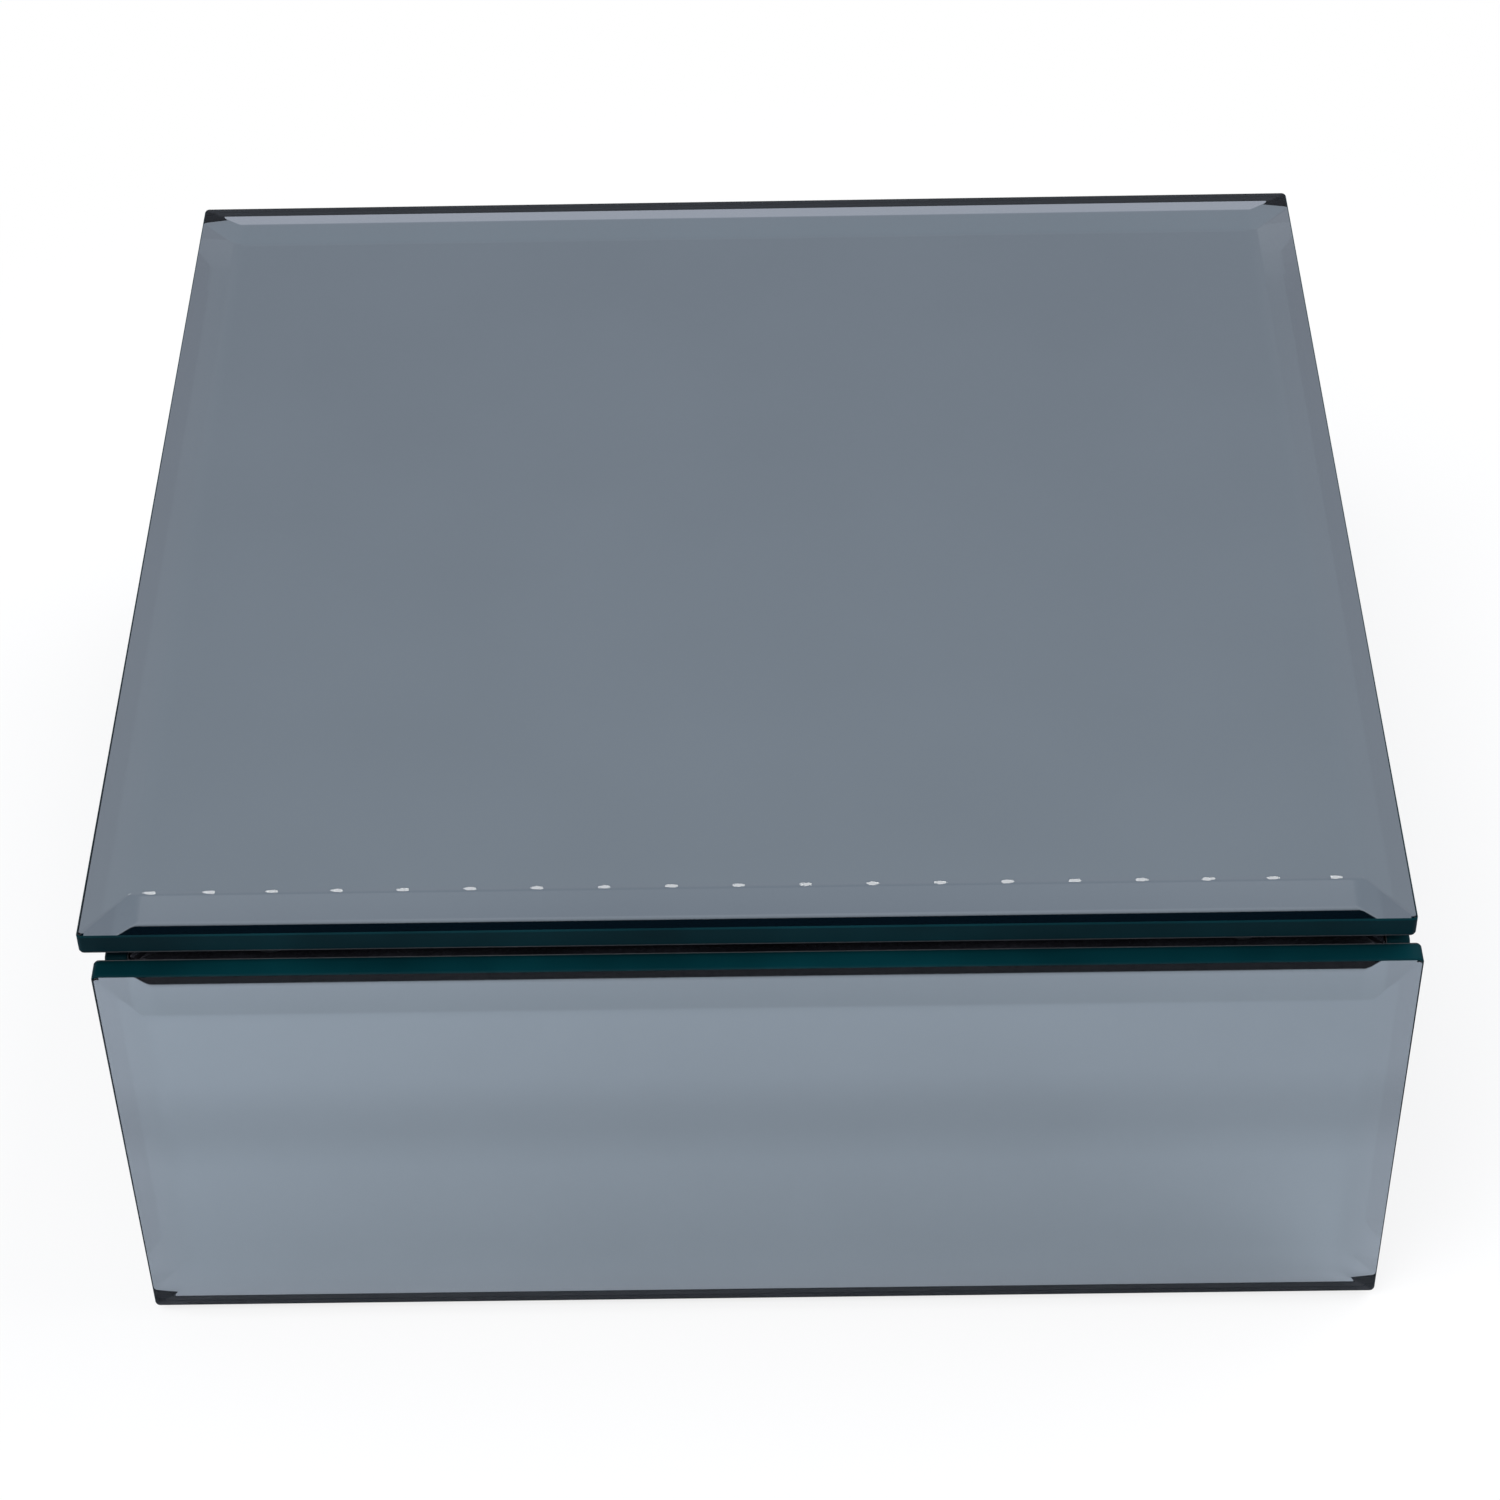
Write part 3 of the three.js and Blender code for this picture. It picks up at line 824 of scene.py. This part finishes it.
def hinge(side, sizes, plate):
    """Both leaves and the pin of one hinge, round the pin's axis.

    A leaf is a flat plate joined to rolled knuckles, with its screws' rooms cut out of it."""
    pin_low, pin_high = np.array(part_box(f"hinge_pin_{side}"))
    middle = (pin_low + pin_high) / 2
    radius = middle[2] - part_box(f"hinge_fixed_leaf_{side}")[0][2]
    inner = sizes.middle / 2
    outer = inner + sizes.knuckle_gap
    swing = sizes.leaf_gap / 2
    leaves = {"fixed": ("box", "body_screw", 1, -swing - sizes.leaf),
              "lid": ("lid", "lid_screw", -1, swing)}
    for kind, (body, family, flip, level) in leaves.items():
        node = f"hinge_{kind}_leaf_{side}"
        low, high = np.array(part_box(node))
        half = (high[0] - low[0]) / 2
        steps = []
        for span in [(-inner, inner)] if kind == "lid" else [(-half, -outer), (outer, half)]:
            points, faces = prism(curl(sizes, radius, flip), *span)
            steps.append(("UNION", (points + middle, faces)))
        if kind == "lid":
            steps.append(("UNION", stop_lug(sizes, middle, radius, inner)))
        for number in (1, 2):
            place = top_of(*np.array(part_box(f"{family}_{side}_{number}")))
            steps.append(("DIFFERENCE", screw_room(sizes, place)))
        shape = combined(leaf_plate(sizes, middle, low[1], level, half), *steps)
        piece = new_piece(f"{side}_{kind}_leaf", *shape, [plate], body, "nickel", node)
        soften(piece, sizes.break_edge)
    head = (pin_high[2] - pin_low[2]) / 2
    dome_tall, under_head = 0.5 * MM, 0.02 * MM
    top_angle, rim_angle, dome_rings = 1.45, 0.3, 7
    rim = (pin_high[0] - pin_low[0]) / 2 - dome_tall
    angles = np.linspace(top_angle, rim_angle, dome_rings)
    dome = [(head * cos(a), rim + dome_tall * sin(a)) for a in angles]
    profile = [*dome, (head, rim), (sizes.pin, rim - under_head)]
    profile += [(r, -h) for r, h in profile[::-1]]
    shape = turned(profile, X, middle, 32)
    new_piece(f"{side}_pin", *shape, [plate], "box", "nickel", f"hinge_pin_{side}")


def spun(points, turn):
    """Rows of flat coordinates, turned about the origin."""
    cosine, sine = cos(turn), sin(turn)
    return np.asarray(points) @ np.array([[cosine, sine], [-sine, cosine]])


def stop_lug(sizes, middle, radius, half):
    """The tab on the lid's knuckle that meets the fixed leaf when the lid is open."""
    thick = sizes.stop_thick / 2
    root, tip = -radius * 0.8, -radius - sizes.stop_reach
    lower = [(root, -thick), (tip + thick * 0.5, -thick), (tip, -thick * 0.5)]
    upper = [(across, -up) for across, up in lower[::-1]]
    points, faces = prism(spun(lower + upper, sizes.stop_angle), -half, half)
    return points + middle, faces


def screw(name, body, sizes, plate):
    """A countersunk wood screw: a cone head with a crossed slot and a ridged shank to a point."""
    low, high = np.array(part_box(name))
    tall = high[2] - low[2]
    top = top_of(low, high)
    head, shank, pitch = sizes.head, sizes.shank, sizes.pitch
    thread = ((0.72, 0), (1.0, 0.35), (1.0, 0.45), (0.72, 0.8))
    ridge = [
        (shank * share, -(depth + pitch * offset))
        for depth in np.arange(sizes.leaf + pitch / 2, tall - 2 * shank, pitch)
        for share, offset in thread
    ]
    edge, point = 0.06 * MM, 0.05 * MM
    rim = [(head * 0.94, 0), (head, -edge), (head, -2 * edge), (shank * 0.85, -sizes.leaf)]
    tip = [(shank * 0.6, shank - tall), (point, -tall)]
    shape = turned(rim + ridge + tip, Z, top, 32)
    arm, wide, deep, flare = head * 0.72, sizes.slot_width / 2, sizes.slot_depth, 1.1
    bar = [(-wide, -deep), (wide, -deep), (wide * flare, deep), (-wide * flare, deep)]
    first_arm = 0.4
    for turn in (first_arm, first_arm + pi / 2):
        points, faces = prism(bar, -arm, arm)
        points[:, :2] = spun(points[:, :2], turn)
        shape = combined(shape, ("DIFFERENCE", (points + top, faces)))
    piece = new_piece(name.replace("screw", "wood_screw"), *shape, [plate], body, "nickel", name)
    soften(piece, sizes.break_edge / 2, 40)


# ---- Operators, in the order they run ----


class TRINKET_OT_mirrors(Operator):
    """Make the five bevelled mirror plates"""

    bl_idname = "trinket.mirrors"
    bl_label = "Mirror Plates"

    def execute(self, context):
        materials = [clear_glass(), ground_edge(), silver_back(), backing_paint()]
        for name in MIRRORS:
            mirror_plate(name, context.scene.trinket_glass, materials)
        return {"FINISHED"}


class TRINKET_OT_linings(Operator):
    """Line the four walls with velvet"""

    bl_idname = "trinket.linings"
    bl_label = "Wall Linings"

    def execute(self, context):
        cloth = context.scene.trinket_cloth
        cover = velvet(cloth.velvet)
        for side in ("front", "back", "left", "right"):
            wall_lining(side, cloth, cover)
        return {"FINISHED"}


class TRINKET_OT_pads(Operator):
    """Make the pad on the floor and the lid's lining"""

    bl_idname = "trinket.pads"
    bl_label = "Pads"

    def execute(self, context):
        cloth = context.scene.trinket_cloth
        cover = bpy.data.materials["black_velvet"]
        floor_cushion(cloth, cover)
        lid_cushion(cloth, cover)
        return {"FINISHED"}


class TRINKET_OT_felt(Operator):
    """Put the felt under the box"""

    bl_idname = "trinket.felt"
    bl_label = "Base Felt"

    def execute(self, context):
        felt_sheet(context.scene.trinket_cloth)
        return {"FINISHED"}


class TRINKET_OT_bumpers(Operator):
    """Make the two rubber bumpers"""

    bl_idname = "trinket.bumpers"
    bl_label = "Bumpers"

    def execute(self, context):
        grip = rubber()
        for side in ("left", "right"):
            bumper(side, grip)
        return {"FINISHED"}


class TRINKET_OT_hinges(Operator):
    """Make the leaves and pins of both hinges"""

    bl_idname = "trinket.hinges"
    bl_label = "Hinges"

    def execute(self, context):
        plate = nickel()
        for side in ("left", "right"):
            hinge(side, context.scene.trinket_hinge, plate)
        return {"FINISHED"}


class TRINKET_OT_screws(Operator):
    """Make the eight hinge screws"""

    bl_idname = "trinket.screws"
    bl_label = "Screws"

    def execute(self, context):
        plate = bpy.data.materials["nickel_plate"]
        for body, family in (("box", "body_screw"), ("lid", "lid_screw")):
            for side in ("left", "right"):
                for number in (1, 2):
                    screw(f"{family}_{side}_{number}", body, context.scene.trinket_hinge, plate)
        return {"FINISHED"}


class TRINKET_OT_boards(Operator):
    """Give the carcass boards and the lid's board their finish"""

    bl_idname = "trinket.boards"
    bl_label = "Boards"

    def execute(self, context):
        plain = fibreboard()
        for name in ("base_board", "front_wall", "back_wall", "left_wall", "right_wall"):
            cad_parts[name].material_slots[0].material = plain
        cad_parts["lid_board"].material_slots[0].material = board_wrap()
        return {"FINISHED"}


class TRINKET_OT_studio(Operator):
    """Set the camera, the floor and the light"""

    bl_idname = "trinket.studio"
    bl_label = "Studio"

    def execute(self, context):
        scene = context.scene
        add_camera(scene.trinket_studio, scene.trinket_glass)
        add_floor()
        add_sky(scene)
        add_softboxes()
        add_lamp_row()
        scene.view_settings.view_transform = "Standard"
        scene.cycles.use_denoising = True
        scene.cycles.max_bounces = 24
        scene.cycles.transmission_bounces = 16
        scene.cycles.glossy_bounces = 6
        scene.cycles.caustics_reflective = False
        scene.cycles.caustics_refractive = False
        return {"FINISHED"}


# ---- Studio ----


def placed(axes, place):
    """The matrix that turns an object's own axes to the given ones and moves it to a place."""
    matrix = np.eye(4)
    matrix[:3] = np.column_stack([*axes, place])
    return Matrix(matrix.tolist())


def add_camera(studio, glass):
    """The camera: its axes are turned by tilt, turn and roll from a view along +Y."""
    down, turn, roll = studio.down, studio.turn, studio.roll
    level = cos(turn) * X - sin(turn) * Y
    ahead = cos(down) * (sin(turn) * X + cos(turn) * Y) - sin(down) * Z
    lift = np.cross(level, ahead)
    right = level * cos(roll) + lift * sin(roll)
    over = lift * cos(roll) - level * sin(roll)
    low, high = np.array(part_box("front_mirror"))
    origin = np.array([(low[0] + high[0]) / 2, high[1] - glass.rim, low[2]])
    data = bpy.data.cameras.new("camera")
    data.lens = studio.lens / MM
    data.clip_end = 20
    camera = add_object("camera", data)
    camera.matrix_world = placed((right, over, -ahead), origin + np.array(studio.camera))
    bpy.context.scene.camera = camera


def stage_mesh(name, points, faces, material):
    """A mesh of the studio, which is no part of the box."""
    mesh = new_mesh(name, points, faces)
    mesh.materials.append(material)
    item = add_object(name, mesh)
    return item


def replace_surface(material, surface):
    """Puts another shader in the place of a material's Principled one."""
    tree = material.node_tree
    tree.nodes.remove(tree.nodes["Principled BSDF"])
    tree.links.new(surface, tree.nodes["Material Output"].inputs["Surface"])


def camera_or_other(node, seen, other):
    """One shader for what the camera sees directly and another for what the mirrors see."""
    direct = node("ShaderNodeLightPath").outputs["Is Camera Ray"]
    return node("ShaderNodeMixShader", {0: direct, 1: other, 2: seen}).outputs[0]


def add_floor():
    """A pale floor that fades into the backdrop; the mirrors see it as a grey card.

    The card's tone changes with the distance in front of the box, and a little from side to side: the
    dark band a few centimetres in front of the box, the slight darkening right at the box, and the
    darker middle and right side are painted shade."""
    size = 4.0
    corners = [(-size, -size, 0), (size, -size, 0), (size, size, 0), (-size, size, 0)]
    material, _, node = new_material("pale_floor")
    pale = node("ShaderNodeBsdfDiffuse", {"Color": grey(0.9)}).outputs[0]
    place = node("ShaderNodeTexCoord").outputs["Object"]
    parts = node("ShaderNodeSeparateXYZ", {0: place}).outputs
    card_colour = (1.0, 1.072, 1.232)
    # painted shade: the card's grey is a little darker right at the box and dips to a dark band about
    # three centimetres in front of it
    painted_shade_tones = ((-0.070, 0.27), (-0.0745, 0.288), (-0.080, 0.272), (-0.092, 0.266), (-0.098, 0.229),
             (-0.1015, 0.229), (-0.107, 0.252), (-0.114, 0.250), (-0.150, 0.245))
    near_edge, far_edge = painted_shade_tones[0][0], painted_shade_tones[-1][0]
    ahead = mapped(node, parts["Y"], near_edge, far_edge)
    span = far_edge - near_edge
    stops = [((y - near_edge) / span, scaled(card_colour, tone)) for y, tone in painted_shade_tones]
    shade = graded(node, ahead, stops)
    half_wide = 0.08
    beside = mapped(node, parts["X"], -half_wide, half_wide)
    # painted shade: the card is lighter on the left, darker in the middle and darkest on the right
    side = graded(node, beside, [(0.0, 1.02), (0.5, 0.94), (1.0, 0.90)])
    card = node("ShaderNodeBsdfDiffuse", {"Color": mixed(node, 1.0, shade, side, "MULTIPLY")}).outputs[0]
    haze = node("ShaderNodeEmission", {"Color": grey(1.0)}).outputs[0]
    away = node("ShaderNodeVectorMath", {0: place}, operation="LENGTH").outputs["Value"]
    fade = mapped(node, away, 0.09, 0.21, 0.8, 1.0, interpolation_type="SMOOTHSTEP")
    seen = node("ShaderNodeMixShader", {0: fade, 1: pale, 2: haze}).outputs[0]
    replace_surface(material, camera_or_other(node, seen, card))
    stage_mesh("floor", corners, [(0, 1, 2, 3)], material)


def add_sky(scene):
    """A plain backdrop for the camera; the mirrors see a grey-blue tent.

    The tent's colour changes with its height: it has a light band high up and is dark overhead."""
    world = bpy.data.worlds.new("studio")
    scene.world = world
    world.use_nodes = True
    tree = world.node_tree
    tree.nodes.clear()
    node = node_maker(tree)
    direction = node("ShaderNodeTexCoord").outputs["Generated"]
    height = node("ShaderNodeSeparateXYZ", {0: direction}).outputs["Z"]
    light_band = (0.387, 0.395, 0.467)
    stops = [
        (0.0, (0.22, 0.24, 0.28)), (0.30, (0.225, 0.242, 0.285)), (0.548, (0.252, 0.268, 0.318)),
        (0.572, (0.199, 0.217, 0.264)), (0.72, (0.217, 0.240, 0.288)), (0.765, (0.22, 0.24, 0.29)),
        (0.80, light_band), (0.86, light_band), (0.92, (0.035, 0.115, 0.205)), (1.0, (0.03, 0.11, 0.20)),
    ]
    tent = node("ShaderNodeBackground", {"Color": graded(node, height, stops)}).outputs[0]
    backdrop = node("ShaderNodeBackground", {"Color": grey(1.0)}).outputs[0]
    output = node("ShaderNodeOutputWorld")
    tree.links.new(camera_or_other(node, backdrop, tent), output.inputs["Surface"])


def add_softboxes():
    """Large soft lamps that light the floor and the cloth and don't show in the mirrors."""
    size = 0.9
    lamps = {"softbox_key": ((-0.5, -0.45, 1.0), 13.0), "softbox_fill": ((0.6, 0.2, 0.9), 8.0)}
    for name, (place, power) in lamps.items():
        data = bpy.data.lights.new(name, "AREA")
        data.size = size
        data.energy = power
        lamp = add_object(name, data)
        away = np.array(place) / np.linalg.norm(place)
        side = np.cross(Y, away)
        side /= np.linalg.norm(side)
        lamp.matrix_world = placed((side, np.cross(away, side), away), place)
        lamp.visible_glossy = False
        lamp.visible_transmission = False


def add_lamp_row():
    """A row of small lamps above and behind the box, which shows as points along the ridges.

    Each lamp is an upright ellipse that faces the box. The row bows towards the box at its ends,
    where the lamps also stand a little closer, by the fourth power of their number from the middle."""
    count, spacing, bow, crowd = 24, 18.27 * MM, 0.35, 0.000004
    wide, tall, corners = 1.8 * MM, 64 * MM, 12
    middle = np.array([-1.08 * MM, 0.25, 0.575])
    target = np.array([0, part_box("lid_mirror")[0][1], 63.25 * MM])
    away = (target - middle) / np.linalg.norm(target - middle)
    rise = np.cross(X, away)
    turn = np.linspace(0, 2 * pi, corners, endpoint=False)
    ellipse = np.cos(turn)[:, None] * wide * X + np.sin(turn)[:, None] * tall * rise
    station = np.arange(count) - (count - 1) / 2
    offset = station * (1 - crowd * station**4) * spacing
    centres = middle + offset[:, None] * X + (bow * offset**2)[:, None] * away
    points = (centres[:, None] + ellipse).reshape(-1, 3)
    faces = np.arange(len(points)).reshape(count, -1)
    material, _, node = new_material("lamp_glow")
    glow = node("ShaderNodeEmission", {"Color": (1.0, 0.98, 0.95, 1), "Strength": 8.5}).outputs[0]
    replace_surface(material, glow)
    material.cycles.emission_sampling = "NONE"
    row = stage_mesh("lamp_row", points, faces.tolist(), material)
    for kind in ("camera", "diffuse", "shadow", "volume_scatter", "transmission"):
        setattr(row, f"visible_{kind}", False)


# ---- The panel ----


STEPS = (TRINKET_OT_mirrors, TRINKET_OT_linings, TRINKET_OT_pads, TRINKET_OT_felt,
         TRINKET_OT_bumpers, TRINKET_OT_hinges, TRINKET_OT_screws, TRINKET_OT_boards,
         TRINKET_OT_studio)
GROUPS = {"trinket_glass": GlassSettings, "trinket_cloth": ClothSettings,
          "trinket_hinge": HingeSettings, "trinket_studio": StudioSettings}


class TRINKET_PT_sidebar(Panel):
    """The steps that build the box"""

    bl_idname = "TRINKET_PT_sidebar"
    bl_label = "Trinket Box"
    bl_space_type = "VIEW_3D"
    bl_region_type = "UI"
    bl_category = "Trinket Box"

    def draw(self, context):
        for step in STEPS:
            self.layout.operator(step.bl_idname)
        for name, group in GROUPS.items():
            for key in group.__annotations__:
                self.layout.prop(getattr(context.scene, name), key)


CLASSES = (*GROUPS.values(), *STEPS, TRINKET_PT_sidebar)


def register():
    """Registers the classes and hangs the settings on the scene."""
    for item in CLASSES:
        bpy.utils.register_class(item)
    for name, group in GROUPS.items():
        setattr(bpy.types.Scene, name, PointerProperty(type=group))


def unregister():
    """Takes the settings and the classes away again."""
    for name in GROUPS:
        delattr(bpy.types.Scene, name)
    for item in reversed(CLASSES):
        bpy.utils.unregister_class(item)


def main():
    """Runs every step in order."""
    register()
    for step in STEPS:
        family, name = step.bl_idname.split(".")
        getattr(getattr(bpy.ops, family), name)()


if __name__ == "__main__":
    main()
